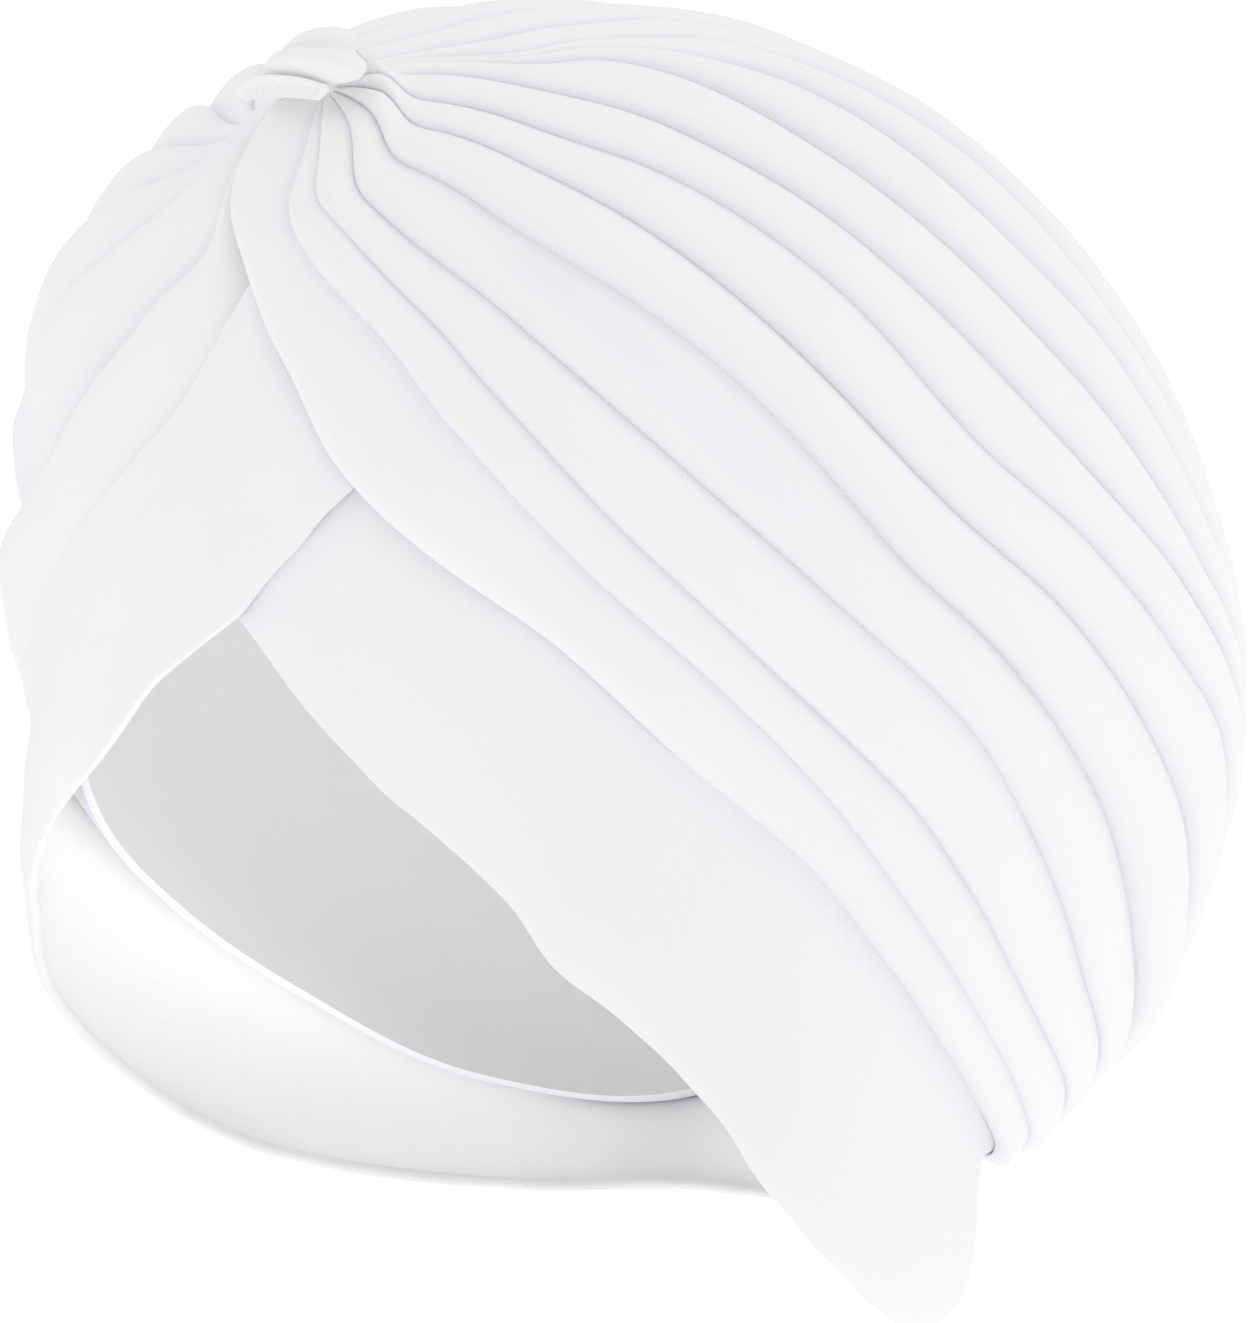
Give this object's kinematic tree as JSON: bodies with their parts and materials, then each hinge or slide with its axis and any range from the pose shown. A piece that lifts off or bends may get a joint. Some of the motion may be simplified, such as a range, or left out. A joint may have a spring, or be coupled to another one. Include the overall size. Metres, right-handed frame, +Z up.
{
  "type": "pleated headwrap turban",
  "caption": "Soft jersey headwrap in its worn form, with a knife-pleated crown gathered into a small front knot, crossing brow bands and a low nape.",
  "frame": {"origin": "the seat under the crown, where the top of the wearer's head carries the wrap", "axes": "+Z up, -Y the way the wearer looks, +X the wearer's left side"},
  "size_m": [0.1897, 0.2077, 0.2329],
  "materials": {
    "white_jersey": "matte white stretch jersey with a soft short nap and fine knit ribs"
  },
  "bodies": {
    "root": {"crown_left": "white_jersey", "crown_upper_left": "white_jersey", "crown_upper_right": "white_jersey", "crown_right": "white_jersey", "brow_band_left": "white_jersey", "brow_band_right": "white_jersey", "knot_loop": "white_jersey", "nape_tab": "white_jersey"}
  },
  "joints": []
}
